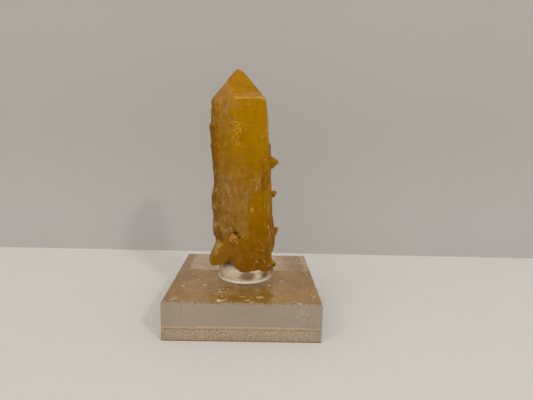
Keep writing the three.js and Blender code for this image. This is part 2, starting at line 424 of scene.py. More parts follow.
def face_heading(number):
    """Where prism face 0 to 5 looks, in the frame. Faces 4 and 5 are the two in front."""
    angle = math.radians(60 * number)
    return TURN @ Vector((math.cos(angle), math.sin(angle), 0))


def across_front(tree, place):
    """Millimetres from left to right over the two front faces. Their shared edge is at about -5."""
    return along(tree, place, (COS_30, 0.5, 0))


def along_left(tree, place):
    """Millimetres over the left front face, from -4.5 at its outer edge to 3 at the inner one."""
    return along(tree, place, (COS_30, -0.5, 0))


print("crystal axis", [round(v, 3) for v in AXES[2]])

# %% [markdown]
# ## The crystal's rough skin
#
# While the crystal grew, hundreds of smaller ones started on its flanks and lay down along it like
# scales, and stubby ones crowded round the foot. They could be modelled one by one or sculpted.
# Here a Geometry Nodes tree scatters six-sided points on the flanks, each sunk in the face so that only
# a sliver stands proud, and a voxel remesh then grows them and the main crystal into one skin.

# %% A six-sided point
QUARTZ = bpy.data.materials.new("golden_quartz")  # it gets its nodes further on
QUARTZ_TIP = 1 / math.tan(math.radians(38.2))  # height of a quartz tip of radius 1


def joined(tree, *geometries):
    """Several geometries as one."""
    node = add(tree, "GeometryNodeJoinGeometry")
    for geometry in geometries:
        tree.links.new(geometry, node.inputs[0])
    return node.outputs[0]


def crystal_point(tree, length):
    """A six-sided point of radius 1 along +Z, with its shoulder at 0 and its foot at -length."""
    sizes = {"Vertices": 6, "Radius": 1.0, "Depth": length}
    shaft = add(tree, "GeometryNodeMeshCylinder", sizes, fill_type="NGON").outputs["Mesh"]
    middle = add(tree, "ShaderNodeCombineXYZ", {"Z": product(tree, length, -0.5)}).outputs[0]
    shaft = add(tree, "GeometryNodeTransform", {"Geometry": shaft, "Translation": middle}).outputs[0]
    sizes = {"Vertices": 6, "Radius Top": 0.0, "Radius Bottom": 1.0, "Depth": QUARTZ_TIP}
    tip = add(tree, "GeometryNodeMeshCone", sizes, fill_type="NGON").outputs["Mesh"]
    return joined(tree, shaft, tip)


print("a tip of radius 1 is", round(QUARTZ_TIP, 3), "high")


# %% A tree that covers flanks with small crystals
def crust_tree(name, where):
    """Small crystals where the mask where(tree, place, normal) is above 0. Sizes are millimetres."""
    tree, given, end = shape_tree(
        name, Spacing=2.0, Thin=0.5, Thick=1.0, Length=3.0, Sunk=0.7, Outward=0.1, Wobble=0.1, Seed=1
    )
    mask = where(tree, crystal_place(tree, position_of(tree)), normal_of(tree))
    # Crystals don't grow on those that an earlier tree has added, and has marked as small.
    taken = shown(add(tree, "GeometryNodeInputNamedAttribute", {"Name": "small"}).outputs, "Attribute")
    scatter = {
        "Mesh": given["Geometry"],
        "Distance Min": product(tree, given["Spacing"], MM),
        "Density Max": 1e7,
        "Density Factor": maths(tree, "SUBTRACT", mask, product(tree, taken, 10.0)),
        "Seed": given["Seed"],
    }
    spots = add(tree, "GeometryNodeDistributePointsOnFaces", scatter, distribute_method="POISSON").outputs
    radius = product(tree, random_value(tree, given["Thin"], given["Thick"], given["Seed"]), MM)
    stray = random_value(tree, (-1, -1, -1), (1, 1, 1), given["Seed"], data_type="FLOAT_VECTOR")
    away = spots["Normal"]
    sunk = scaled(tree, away, product(tree, radius, given["Sunk"], -1.0))
    aim = vectors(tree, "ADD", AXES[2], scaled(tree, away, given["Outward"]))
    aim = vectors(tree, "ADD", aim, scaled(tree, stray, given["Wobble"]))
    copies = {
        "Points": moved(tree, spots["Points"], Offset=sunk),
        "Instance": crystal_point(tree, given["Length"]),
        "Rotation": add(tree, "FunctionNodeAlignRotationToVector", {"Vector": aim}, axis="Z").outputs[0],
        "Scale": radius,
    }
    copies = add(tree, "GeometryNodeInstanceOnPoints", copies).outputs[0]
    real = add(tree, "GeometryNodeRealizeInstances", {"Geometry": copies}).outputs[0]
    marked = {"Geometry": real, "Name": "small", "Value": 1.0}
    marked = add(tree, "GeometryNodeStoreNamedAttribute", marked).outputs[0]
    close_tree(tree, joined(tree, given["Geometry"], marked), end, QUARTZ)
    return tree


print("crust tree ready")

# %% [markdown]
# ## Where the small crystals grow
#
# Each kind has its own mask, in the crystal's axes: by the face it grows on, by height, and by patches
# of noise, since growth is never even. The growths that the frame already holds must stay bare, and
# balls round them keep the small crystals off.

# %% What stays bare
# Middles and radii of the balls, in millimetres in the crystal's axes.
SIDE_PLACES = {
    "side crystal": ((-8.2, -5.5, -51.5), 6.5),
    "foot of the side crystal": ((-9.5, -5.5, -56.0), 4.0),
}
CRISP_PLACES = {
    "vug": ((-1.6, -9.0, -46.8), 2.4),
    "spur": ((11.2, 2.2, -21.0), 3.4),
    "upper knob": ((10.7, 2.0, -32.7), 1.8),
    "lower knob": ((11.7, 2.2, -46.0), 2.0),
}
BALL_EDGE = 0.5  # how far outside a ball its effect fades


def clear_of(tree, place, balls):
    """0 inside the balls, and 1 elsewhere."""
    return product(tree, *(
        ramp(tree, apart(tree, place, middle), radius, radius + BALL_EDGE)
        for middle, radius in balls.values()
    ))


def bare(tree, place):
    """0 on what stands out already, and 1 elsewhere."""
    return clear_of(tree, place, {**SIDE_PLACES, **CRISP_PLACES})


print("kept bare:", ", ".join([*SIDE_PLACES, *CRISP_PLACES]))


# %% The masks of the four kinds
def facing(tree, normal, *numbers):
    """1 where the surface looks the way one of these prism faces does, and 0 where none does."""
    return total(tree, *(
        ramp(tree, along(tree, normal, face_heading(number)), 0.7, 0.9) for number in numbers
    ))


def pimply(tree, place, normal):
    """Points that stick out of the left faces: many near the top, and few lower down."""
    height = up_axis(tree, place)
    barest = ramp(tree, height, -26.0, -12.0, 0.56, 0.40)
    patches = maths(tree, "GREATER_THAN", noise(tree, place, 0.45), barest)
    inner = ramp(tree, along_left(tree, place), 2.9, 2.3)
    span = product(tree, ramp(tree, height, -0.6, -1.6), ramp(tree, height, -49.0, -47.0))
    return product(tree, facing(tree, normal, 3, 4), patches, inner, span, bare(tree, place))


def scaly(tree, place, normal):
    """Patches of the left faces, and of the two back ones lower down."""
    height = up_axis(tree, place)
    inner = ramp(tree, along_left(tree, place), 2.6, 2.0)
    left = product(tree, facing(tree, normal, 3, 4), inner, ramp(tree, height, -4.0, -8.0))
    back = product(tree, facing(tree, normal, 1, 2), ramp(tree, height, -8.0, -14.0))
    patches = ramp(tree, noise(tree, place, 0.3), 0.48, 0.56)
    span = ramp(tree, height, -53.0, -50.0)
    return product(tree, total(tree, left, back), patches, span, bare(tree, place))


def ridged(tree, place, normal):
    """The lower right of the front, and prism face 0."""
    height = up_axis(tree, place)
    right = ramp(tree, across_front(tree, place), 3.5, 5.5)
    front = product(tree, facing(tree, normal, 5), right, ramp(tree, height, -24.0, -30.0))
    side = product(tree, facing(tree, normal, 0), ramp(tree, height, -12.0, -20.0))
    span = ramp(tree, height, -52.0, -50.0)
    return product(tree, total(tree, front, side), span, bare(tree, place))


def stubby(tree, place, normal):
    """Round the foot, and thickest at the right of the front."""
    height = up_axis(tree, place)
    low = product(tree, ramp(tree, height, -51.0, -54.0), ramp(tree, height, -57.5, -57.0))
    right = ramp(tree, across_front(tree, place), 0.0, 3.0)
    patches = product(tree, 0.5, ramp(tree, noise(tree, place, 0.3), 0.5, 0.6))
    return product(tree, low, total(tree, right, patches), bare(tree, place))


print("masks ready")

# %% [markdown]
# ## Rounded knobs
#
# A few growths are round and not pointed: knobs on the right edge, crumbs at the right of the foot, and
# the ball of grains in the vug, which is a small hollow low on the front. Low balls are joined to the
# mesh where they sit, before the remesh. The grains' places follow the golden angle, as seeds in a
# sunflower do, which spreads them evenly without a grid.

# %% Add the rounded knobs
# Middles in millimetres in the crystal's axes, and radii.
VUG = Vector((-1.6, -8.6, -46.9))
KNOBS = [
    ((11.0, 2.0, -32.6), 0.95), ((10.8, 1.9, -33.6), 0.65), ((11.6, 2.1, -45.9), 0.75),
    ((10.5, 1.8, -51.2), 0.6),  # down the right edge
    (VUG + Vector((0, 0.5, 0)), 1.3),  # the core of the vug
    ((10.1, -2.7, -56.9), 1.2), ((10.9, -1.8, -58.0), 1.0), ((9.5, -3.9, -57.8), 1.0),  # crumbs
]
VUG_GRAINS = 13
VUG_REACH = 1.4  # how far from the middle the outermost grains sit, before they are spread sideways
GOLDEN_ANGLE = 2.4
for grain in range(VUG_GRAINS):
    angle = GOLDEN_ANGLE * grain
    reach = VUG_REACH * math.sqrt(grain / VUG_GRAINS)
    bulge = 0.35 * reach * reach - 0.8
    offset = Vector((1.2 * reach * math.cos(angle), bulge, reach * math.sin(angle)))
    KNOBS.append((VUG + offset, 0.42 + 0.12 * math.sin(5 * grain)))


def add_knobs(piece):
    """Joins a low round knob to a piece's mesh at each place in KNOBS."""
    shape = bmesh.new()
    shape.from_mesh(piece.data)
    upright = Matrix(AXES).transposed().to_4x4()
    for middle, radius in KNOBS:
        place = Matrix.Translation(SHOULDER) @ upright @ Matrix.Translation(Vector(middle) * MM)
        bmesh.ops.create_icosphere(shape, subdivisions=2, radius=radius * MM, matrix=place)
    shape.to_mesh(piece.data)
    shape.free()


crystal = merged_copy("quartz_crystal", "quartz_point")
add_knobs(crystal)
print(len(KNOBS), "knobs added")

# %% Grow the small crystals
grow(crystal, crust_tree("Pimples", pimply), Spacing=1.9, Thin=0.55, Thick=1.0, Length=1.2, Sunk=0.66,
     Outward=1.2, Wobble=0.5, Seed=2)
grow(crystal, crust_tree("Scales", scaly), Spacing=2.2, Thin=0.6, Thick=1.4, Length=2.6, Sunk=0.86,
     Outward=0.06, Wobble=0.16, Seed=3)
grow(crystal, crust_tree("Ridges", ridged), Spacing=1.1, Thin=0.4, Thick=0.8, Length=5.0, Sunk=0.76,
     Outward=0.0, Wobble=0.03, Seed=5)
grow(crystal, crust_tree("Stubs", stubby), Spacing=0.75, Thin=0.25, Thick=0.55, Length=1.2, Sunk=0.62,
     Outward=0.5, Wobble=0.6, Seed=8)
settle(crystal)

# %% [markdown]
# ## Growth relief
#
# Etching has rounded whatever stands out on the left and round the foot, while the right front face and
# the tip are still crisp. So a second tree first melts the remeshed skin, which is a blur of its points'
# places: hard along the worn front edge and the ledges on the left, and gently over all that is etched.
# Then it moves each point along its normal by a sum of patterns read in the crystal's axes: mounds,
# fine level steps, flutes at the lower right, grain, and a slow swelling. The faces then carry real
# relief in the mesh, and the material only has to add the finest lines.

# %% Where the stone is etched and rough
# How much rougher than smooth the etched side is, from the foot up.
ROUGHNESS = [
    (-60, 0.25), (-50, 0.4), (-44, 0.9), (-36, 0.85), (-27, 0.5), (-18, 0.15), (-12, 0.4), (-8, 1.0),
    (0, 0.9),
]
FRONT_EDGE = -4.9  # where across_front() puts the edge between the two front faces


def etched(tree, place):
    """1 where the stone is etched: the left, the back and the foot. 0 on the crisp right and tip."""
    height = up_axis(tree, place)
    left = ramp(tree, across_front(tree, place), -4.2, -5.2)
    back = ramp(tree, along(tree, place, (0, 1, 0)), 2.5, 4.5)
    foot = product(tree, ramp(tree, height, -40.0, -52.0), 0.6)
    return product(tree, any_of(tree, left, back, foot), ramp(tree, height, 0.2, -1.2))


def rough(tree, place):
    """How rough and blotchy the etched side is: most below the top and above the foot."""
    share = graded_share(tree, up_axis(tree, place), ROUGHNESS)
    return product(tree, share, etched(tree, place), bare(tree, place))


def knobbly(tree, place):
    """1 on the bumpy patch of the right front face, beside the edge and below the top."""
    return patch(tree, place, (0.9, -8.1, -11.5), (3.4, 3.4, 5.5), 0.4)


def from_edge(tree, place):
    """Millimetres to either side of the front edge."""
    return maths(tree, "ABSOLUTE", total(tree, across_front(tree, place), -FRONT_EDGE))


def worn(tree, place):
    """How hard the front edge, the ledges on the left and the side crystal's seam are rubbed down."""
    height = up_axis(tree, place)
    edge = product(
        tree, ramp(tree, from_edge(tree, place), 2.0, 0.4), ramp(tree, height, 0.5, -1.5, 0.12, 0.8)
    )
    ledges = product(
        tree,
        band(tree, along_left(tree, place), -2.2, -0.4, 0.7),
        band(tree, height, -44.0, -3.0, 2.0),
        ramp(tree, along(tree, place, (0, 1, 0)), -1.0, -3.0, 0.0, 0.85),
    )
    seam = product(tree, patch(tree, place, (-4.4, -10.0, -51.8), (4.2, 4.2, 7.5), 0.1), 0.9)
    return any_of(tree, edge, ledges, seam)


print("roughness given at", len(ROUGHNESS), "heights")


# %% A tree that melts the skin and carves growth relief
def melted(tree, geometry, weight, rounds):
    """Geometry whose points have moved towards their neighbours' average, as often as rounds says."""
    inputs = {"Value": position_of(tree), "Iterations": rounds, "Weight": weight}
    blurred = add(tree, "GeometryNodeBlurAttribute", inputs, data_type="FLOAT_VECTOR")
    return moved(tree, geometry, Position=shown(blurred.outputs))


def relief(tree, place, normal, given):
    """How far each point moves out, in millimetres."""
    height = up_axis(tree, place)
    prism = ramp(tree, maths(tree, "ABSOLUTE", along(tree, normal, AXES[2])), 0.45, 0.2)
    mound = cells(tree, squeezed(tree, place, 1, 1, 0.8), 2.0)
    bumpy = total(tree, rough(tree, place), product(tree, knobbly(tree, place), 1.4))
    mounds = product(tree, maths(tree, "SUBTRACT", 0.45, mound), bumpy, given["Mounds"])
    lines = swing(tree, squeezed(tree, place, 0.05, 0.05, 1), 1.3, 4)
    steps = product(tree, lines, prism, given["Steps"], 2.0)
    right = ramp(tree, across_front(tree, place), 0.0, 6.0, 0.0, 1.3)
    fluted = total(
        tree, product(tree, right, ramp(tree, height, -20.0, -30.0), prism), facing(tree, normal, 1, 2)
    )
    fluting = swing(tree, squeezed(tree, place, 1, 1, 0.09), 0.9, 3)
    flutes = product(tree, fluting, fluted, given["Flutes"], 2.0)
    coarse = total(tree, rough(tree, place), 0.15)
    grain = product(tree, swing(tree, place, 1.1, 3), coarse, given["Grain"], 4.0)
    swell = product(tree, swing(tree, place, 0.16, 1), given["Swell"], 2.0)
    return total(tree, mounds, steps, flutes, grain, swell)


def relief_tree():
    """Melts the skin, and then moves it in and out. Depths are in millimetres."""
    tree, given, end = shape_tree(
        "Growth relief", Melt=10, Edge=70, Mounds=0.22, Steps=0.03, Flutes=0.2, Grain=0.05, Swell=0.12
    )
    place = crystal_place(tree, position_of(tree))
    crisp = clear_of(tree, place, CRISP_PLACES)
    hard = product(tree, worn(tree, place), crisp)
    skin = melted(tree, given["Geometry"], hard, given["Edge"])
    least = ramp(tree, up_axis(tree, place), 1.0, 3.0, 0.1, 0.03)
    gentle = product(tree, total(tree, product(tree, etched(tree, place), 0.75), least), crisp)
    skin = melted(tree, skin, gentle, given["Melt"])
    normal = normal_of(tree)
    depth = product(tree, relief(tree, place, normal, given), MM)
    close_tree(tree, moved(tree, skin, Offset=scaled(tree, normal, depth)), end, QUARTZ)
    return tree


RELIEF = relief_tree()
print(f"{RELIEF.name}: {len(RELIEF.nodes)} nodes")

# %% Remesh the crystal into one skin and carve it
VOXEL = 0.2 * MM
SKIN_SHARE = 0.6  # share of the triangles that the decimation keeps
skin = crystal.modifiers.new("one skin", "REMESH")
skin.mode = "VOXEL"
skin.voxel_size = VOXEL
grow(crystal, RELIEF)
thinned = crystal.modifiers.new("thinned", "DECIMATE")
thinned.ratio = SKIN_SHARE
settle(crystal)
crystal.data.shade_smooth()

# %% [markdown]
# ## What tells crests from hollows
#
# On the real crystal iron oxide collects in the hollows and the high spots are rubbed paler, and the
# finish adds painted shade in the hollows and a painted highlight on the crests. The skin has to say
# which is which. Blurring the positions gives the local average surface, and a point that lies outside
# it is on a crest. A last small tree stores that as an attribute for the material to read.

# %% Measure crests and hollows
def crest_tree():
    """Stores how far each point lies outside the surface's local average, in hundredths of a mm."""
    tree, given, end = shape_tree("Crests", Reach=5)
    position = position_of(tree)
    averaged = {"Value": position, "Iterations": given["Reach"]}
    average = shown(add(tree, "GeometryNodeBlurAttribute", averaged, data_type="FLOAT_VECTOR").outputs)
    outside = along(tree, vectors(tree, "SUBTRACT", position, average), normal_of(tree))
    stored = {"Geometry": given["Geometry"], "Name": "crest", "Value": product(tree, outside, 100 / MM)}
    close_tree(tree, add(tree, "GeometryNodeStoreNamedAttribute", stored).outputs[0], end, QUARTZ)
    return tree


grow(crystal, crest_tree())
settle(crystal)
crests = sorted(item.value for item in crystal.data.attributes["crest"].data)
print("crest from", [round(crests[int(len(crests) * share)], 2) for share in (0.01, 0.5, 0.99)])

# %% [markdown]
# ## The crystal's finish
#
# The stone is clear quartz coloured through by iron oxide, so it is amber all over, paler where it is
# veiled or frosted and browner in hollows, where painted shade adds to it. One noise could tint it all,
# but each part of the real stone has its own character. So the finish is laid on in coats, from the
# broad gold to the smallest marks, each by a short function with its own masks.

# %% Helpers for finishes
def start_material(name, settings):
    """A material with these settings on its shader, its tree, and its Object coordinates."""
    material = bpy.data.materials.get(name) or bpy.data.materials.new(name)
    material.use_nodes = True
    tree = material.node_tree
    for socket, value in settings.items():
        tree.nodes["Principled BSDF"].inputs[socket].default_value = value
    return material, tree, add(tree, "ShaderNodeTexCoord").outputs["Object"]


def painted(material, colour):
    """The material with its colour connected. It says how many nodes it has."""
    tree = material.node_tree
    tree.links.new(colour, tree.nodes["Principled BSDF"].inputs["Base Color"])
    print(f"{material.name}: {len(tree.nodes)} nodes")
    return material


def emboss(tree, height, strength, distance):
    """Makes a pattern stand out by bending the light on it."""
    bump = add(tree, "ShaderNodeBump", {"Height": height, "Strength": strength, "Distance": distance})
    tree.links.new(bump.outputs[0], tree.nodes["Principled BSDF"].inputs["Normal"])


print("finish helpers ready")

# %% Colours and veils of the stone
# The stone's own gold, and the frosted skin over it, from the foot up.
GOLD = [
    (-60, (130, 83, 1)), (-53, (130, 83, 1)), (-46, (142, 94, 1)), (-36, (154, 106, 1)),
    (-21, (158, 110, 1)), (-8, (172, 124, 1)), (8, (174, 120, 1)),
]
FROST = [
    (-60, (150, 108, 34)), (-46, (152, 110, 46)), (-30, (154, 116, 62)), (-14, (156, 112, 34)),
    (-3, (170, 122, 46)), (8, (180, 136, 76)),
]
# How much of the left is frosted, from the foot up.
LEFT_FROST = [
    (-60, 0.15), (-50, 0.25), (-44, 0.65), (-30, 0.75), (-25, 0.5), (-20, 0.12), (-13, 0.12), (-9, 0.4),
    (-3, 0.6), (0, 0.9),
]
# Veils: middle and radii in the crystal's axes, and how much they show.
VEILS = [
    ((1.0, -8.2, -2.2), (2.6, 2.6, 2.4), 0.75),  # under the shoulder, right of the front edge
    ((5.6, -3.6, 1.7), (3.6, 2.4, 0.9), 0.9),  # the brightest of the band round the foot of the tip
    ((1.2, -8.0, -24.0), (3.6, 3.2, 6.5), 0.75),  # two broad ones down the middle of the front
    ((1.6, -7.8, -31.5), (5.0, 3.8, 7.5), 0.85),
    ((6.6, -5.1, -28.0), (3.0, 3.0, 3.6), 0.8),  # the rest are small ones on the right
    ((9.0, -3.4, -16.6), (0.6, 1.2, 1.2), 0.6),
    ((4.6, -6.4, -37.2), (0.9, 1.2, 1.3), 0.7),
    ((6.5, -5.5, -48.5), (0.7, 1.0, 0.9), 0.6),
    ((8.0, -4.7, -51.5), (0.6, 1.2, 1.8), 0.5),
    ((-7.4, -8.3, -51.0), (3.4, 2.6, 3.4), 0.85),  # the side crystal
]


print(len(VEILS), "veils")


# %% The stone's gold and its frost
def frost_mask(tree, place):
    """How far the frosted skin covers the stone."""
    height = up_axis(tree, place)
    across = across_front(tree, place)
    wander = product(tree, swing(tree, place, 0.35, 4), 6.0)
    left = ramp(tree, total(tree, across, wander), -3.6, -5.2)
    left = product(tree, left, graded_share(tree, height, LEFT_FROST))
    veils = [
        product(tree, maths(tree, "POWER", patch(tree, place, middle, radii, 0.7, 0.1), 1.7), share)
        for middle, radii, share in VEILS
    ]
    pane = product(tree, band(tree, across, -4.4, -0.9, 0.35), band(tree, height, -46.4, -41.4, 0.7), 0.85)
    above = product(tree, band(tree, across, -4.4, -2.2, 2.2), band(tree, height, -41.4, -35.0, 2.4), 0.75)
    collar = product(tree, band(tree, height, 0.3, 1.3, 0.6), ramp(tree, across, -5.2, 1.0, 0.35, 0.8))
    streaks = ramp(tree, noise(tree, squeezed(tree, place, 1, 1, 0.35), 1.1, 5), 0.3, 0.6, 0.35, 1.0)
    return product(tree, any_of(tree, left, pane, above, collar, *veils), streaks)


def stone(tree, place, frosted):
    """Gold with clouds and growth lines, under its frost, with painted shade on the left where it turns
    away from the light and along its far left edge.
    """
    height = up_axis(tree, place)
    across = across_front(tree, place)
    upper = ramp(tree, height, -49.5, -47.0)
    lines = noise(tree, squeezed(tree, place, 0.06, 0.06, 1), 1.8, 4)
    clouds = ramp(tree, noise(tree, squeezed(tree, place, 1, 1, 0.5), 0.35, 4), 0.35, 0.65)
    ruled = product(tree, ramp(tree, lines, 0.5, 0.66), ramp(tree, height, -26.0, -14.0))
    # painted shade: the left front face is darker where it turns away from the light
    left_painted_shade = product(tree, ramp(tree, across, -4.6, -6.4), upper)
    side = product(tree, ramp(tree, across, -7.0, -9.0), ramp(tree, height, -48.0, -50.0))
    gold = coats(tree, graded_colour(tree, height, GOLD), [
        (clouds, 0.35, (140, 90, 1)),
        (ruled, 0.3, (188, 138, 10)),
        (left_painted_shade, 0.22, (120, 76, 3)),
        (side, 0.7, (128, 86, 5)),
    ])
    colour = blend(tree, frosted, gold, graded_colour(tree, height, FROST))
    # painted shade: a dark rim down the far left edge, where the stone turns furthest from the light
    outer = product(tree, ramp(tree, across, -8.2, -9.4), upper)
    return coats(tree, colour, [(outer, 0.6, (104, 58, 6))])


print("gold and frost ready")

# %% [markdown]
# The etched side is mottled by stain and frost, in blots of a few millimetres, and by small pale and
# dark specks: painted highlight on tiny bumps and painted shade in pits. The edges of the tip and its
# left face get painted shade, the lip under it a painted highlight, and crests are paler than hollows,
# partly from wear and oxide and partly as painted highlight and shade.

# %% Mottling and edges
def mottled(tree, place, frosted, colour):
    """Blots of stain and frost on the etched side, pale specks of painted highlight on tiny bumps, and
    dark specks of painted shade in pits.
    """
    height = up_axis(tree, place)
    blotchy = rough(tree, place)
    stain = ramp(tree, noise(tree, squeezed(tree, place, 1, 1, 0.75), 0.42, 5), 0.5, 0.66)
    chalk = ramp(tree, noise(tree, squeezed(tree, place, 1, 1, 0.6), 0.5, 5), 0.5, 0.66)
    chalky = total(tree, product(tree, blotchy, 0.4), product(tree, frosted, 0.3))
    dots = noise(tree, place, 1.05, 2)
    deeper = ramp(tree, height, -20.0, -30.0, 0.4, 0.8)
    return coats(tree, colour, [
        (product(tree, stain, blotchy), 0.5, (112, 68, 6)),
        (product(tree, chalk, chalky), 1.0, (180, 144, 90)),
        # painted highlight: pale specks where tiny bumps catch the light
        (product(tree, ramp(tree, dots, 0.62, 0.7), blotchy), 0.5, (206, 168, 104)),
        # painted shade: dark specks in pits
        (product(tree, ramp(tree, dots, 0.34, 0.27), blotchy, deeper), 1.0, (74, 48, 16)),
    ])


def edged(tree, place, crest, colour):
    """Painted shade on the tip's edges and left face, a painted highlight on the lip below it, and
    crests paler and hollows darker, partly wear and oxide and partly painted highlight and shade.
    """
    height = up_axis(tree, place)
    across = across_front(tree, place)
    soft = etched(tree, place)
    tip = ramp(tree, height, 0.2, 1.4)
    beside = ramp(tree, from_edge(tree, place), 1.2, 2.0)
    lip = product(tree, ramp(tree, crest, 1.0, 4.0), band(tree, height, -0.4, 0.5, 0.3))
    return coats(tree, colour, [
        # painted shade along the edges of the tip
        (product(tree, ramp(tree, crest, 2.0, 8.0), tip, beside), 0.6, (118, 66, 4)),
        # painted highlight on the lip under the tip
        (product(tree, lip, ramp(tree, across, -4.6, -3.0)), 0.6, (210, 162, 76)),
        # painted shade on the left face of the tip
        (product(tree, tip, ramp(tree, across, -4.4, -5.4)), 0.4, (140, 94, 34)),
        # paler crests: partly wear, partly painted highlight
        (product(tree, ramp(tree, crest, 1.0, 6.0), soft), 0.35, (196, 150, 70)),
        # darker hollows: partly oxide, partly painted shade
        (product(tree, ramp(tree, crest, -1.0, -6.0), total(tree, soft, 0.3)), 0.5, (104, 60, 2)),
    ])


print("mottling ready")

# %% [markdown]
# The right front face is clearer. It has golden bumps beside the front edge, soft streaks below them,
# long grooves down the lower right, and a sugary foot.

# %% The right front face
def grooves(tree, place):
    """Long streaks up and down the crystal."""
    return noise(tree, squeezed(tree, place, 1, 1, 0.12), 1.7, 4)


def front_face(tree, place, colour):
    """Bumps, streaks, grooves and sugar."""
    height = up_axis(tree, place)
    across = across_front(tree, place)
    lumpy = knobbly(tree, place)
    chips = noise(tree, place, 0.95, 3)
    streaky = noise(tree, squeezed(tree, place, 1, 1, 0.6), 0.7, 5)
    below = product(tree, ramp(tree, across, -4.9, -3.9), ramp(tree, height, -16.0, -26.0))
    grooved = grooves(tree, place)
    lower = product(tree, ramp(tree, across, 3.5, 6.5), ramp(tree, height, -20.0, -27.0))
    sugar = ramp(tree, noise(tree, place, 1.9, 3), 0.56, 0.7)
    sugary = product(tree, ramp(tree, height, -46.0, -52.0), ramp(tree, across, -1.0, 4.0, 0.15, 1.0))
    return coats(tree, colour, [
        (product(tree, lumpy, ramp(tree, chips, 0.52, 0.62)), 0.42, (202, 154, 58)),
        (product(tree, lumpy, ramp(tree, chips, 0.48, 0.38)), 0.45, (122, 84, 6)),
        (product(tree, ramp(tree, streaky, 0.46, 0.36), below), 0.35, (116, 76, 2)),
        (product(tree, ramp(tree, streaky, 0.55, 0.68), below), 0.35, (166, 124, 40)),
        (product(tree, ramp(tree, grooved, 0.52, 0.66), lower), 0.55, (182, 138, 62)),
        (product(tree, ramp(tree, grooved, 0.48, 0.36), lower), 0.5, (118, 74, 1)),
        (product(tree, sugar, sugary), 0.5, (178, 134, 60)),
    ])


print("front face ready")

# %% [markdown]
# Last come the single marks: painted shadow round the grains of the vug, pale spots that are partly
# bruised and partly painted glints, a pale cloud, a bright sliver along the upper right edge, and a
# streak of rust.

# %% Pale spots: some are painted glints where a facet catches the light, the rest are where a facet is
# bruised or frosted most. Middle, radii, and how much each shows.
# Where a facet is bruised or frosted most: middle, radii, and how much each shows.
SPOTS = [
    ((-1.2, -8.4, -2.0), (0.4, 0.8, 0.35), 0.65), ((4.2, -6.0, -1.9), (1.0, 0.8, 0.2), 0.6),
    ((0.6, -8.2, -7.7), (1.3, 1.0, 0.25), 0.65), ((1.8, -7.5, -9.9), (0.5, 0.8, 0.4), 0.65),
    ((-0.3, -8.7, -10.4), (0.35, 0.8, 0.6), 0.65), ((9.8, -3.0, -10.6), (0.8, 0.9, 0.35), 0.65),
    ((8.3, -4.0, -12.9), (0.4, 0.8, 0.4), 0.65), ((9.0, -3.5, -20.3), (0.3, 0.8, 0.3), 0.5),
    ((9.6, -3.5, -43.8), (0.3, 1.0, 1.5), 0.65), ((5.6, -6.2, -55.5), (0.5, 0.7, 0.45), 0.6),
    ((8.1, -4.7, -56.2), (0.35, 0.7, 0.6), 0.6), ((1.2, -7.6, -12.6), (0.3, 0.8, 0.3), 0.5),
    ((4.5, -6.5, -37.2), (0.6, 0.9, 0.9), 0.35), ((1.9, -7.9, -33.6), (0.35, 0.8, 0.9), 0.3),
    ((11.9, 1.4, -20.2), (0.9, 1.6, 0.5), 0.55),
    # the side crystal, under its top edge and down its left
    ((-7.7, -7.9, -49.8), (1.0, 1.6, 1.2), 0.35), ((-6.6, -8.0, -49.4), (1.2, 1.4, 0.5), 0.4),
    ((-8.4, -8.3, -51.6), (1.2, 1.4, 1.6), 0.25),
]


print(len(SPOTS), "pale spots")


# %% Single marks
def vug_marks(tree, place, colour):
    """Painted shadow in the hollow round the grains of the vug, and the grains."""
    over = total(tree, up_axis(tree, place), product(tree, across_front(tree, place), 0.25))
    torn = ramp(tree, noise(tree, place, 1.1, 3), 0.44, 0.54, 0.1, 1.0)
    rim = apart(tree, place, VUG + Vector((0.05, 0, 0.2)))
    rim = total(tree, rim, product(tree, swing(tree, place, 1.4, 3), 1.2))
    vug_shadow = product(tree, band(tree, rim, 1.95, 2.25, 0.25), ramp(tree, over, -48.6, -47.4), torn)
    inside = ramp(tree, apart(tree, place, VUG), 2.1, 1.7)
    grit = noise(tree, place, 1.9, 2)
    return coats(tree, colour, [
        # painted shadow in the hollow round the grains of the vug
        (vug_shadow, 0.9, (44, 28, 8)),
        (inside, 0.6, (172, 114, 30)),
        (product(tree, inside, ramp(tree, grit, 0.52, 0.6)), 0.8, (206, 152, 76)),
        (product(tree, inside, ramp(tree, grit, 0.45, 0.38)), 0.8, (108, 62, 10)),
    ])


def marked(tree, place, colour):
    """Pale spots, partly painted glints, a cloud, a sliver and rust."""
    spots = [
        product(tree, patch(tree, place, middle, radii, 0.8, 0.2), share)
        for middle, radii, share in SPOTS
    ]
    cloud = patch(tree, place, (6.5, -5.2, -28.0), (2.9, 3.0, 3.6), 0.6, 0.2)
    wisps = ramp(tree, noise(tree, squeezed(tree, place, 1, 1, 1.2), 0.7, 5), 0.42, 0.62)
    upper = band(tree, up_axis(tree, place), -14.0, -1.0, 2.0)
    sliver = product(tree, ramp(tree, across_front(tree, place), 7.5, 8.1), upper)
    rust = patch(tree, place, (8.2, -3.9, -27.6), (1.3, 2.2, 6.5), 0.7)
    rusty = product(tree, rust, ramp(tree, grooves(tree, place), 0.44, 0.56))
    return coats(tree, colour, [
        # pale spots: partly painted glints, partly bruised frost
        (any_of(tree, *spots), 1.0, (214, 172, 100)),
        (product(tree, cloud, wisps), 0.5, (192, 150, 90)),
        (sliver, 0.7, (214, 176, 124)),
        (rusty, 0.7, (112, 62, 8)),
    ])


print("marks ready")

# %% [markdown]
# Light sinks into the stone a little before it leaves again, which subsurface scattering gives: red
# goes furthest, and blue hardly enters. The gloss is weak and yellowish because the surface is etched.

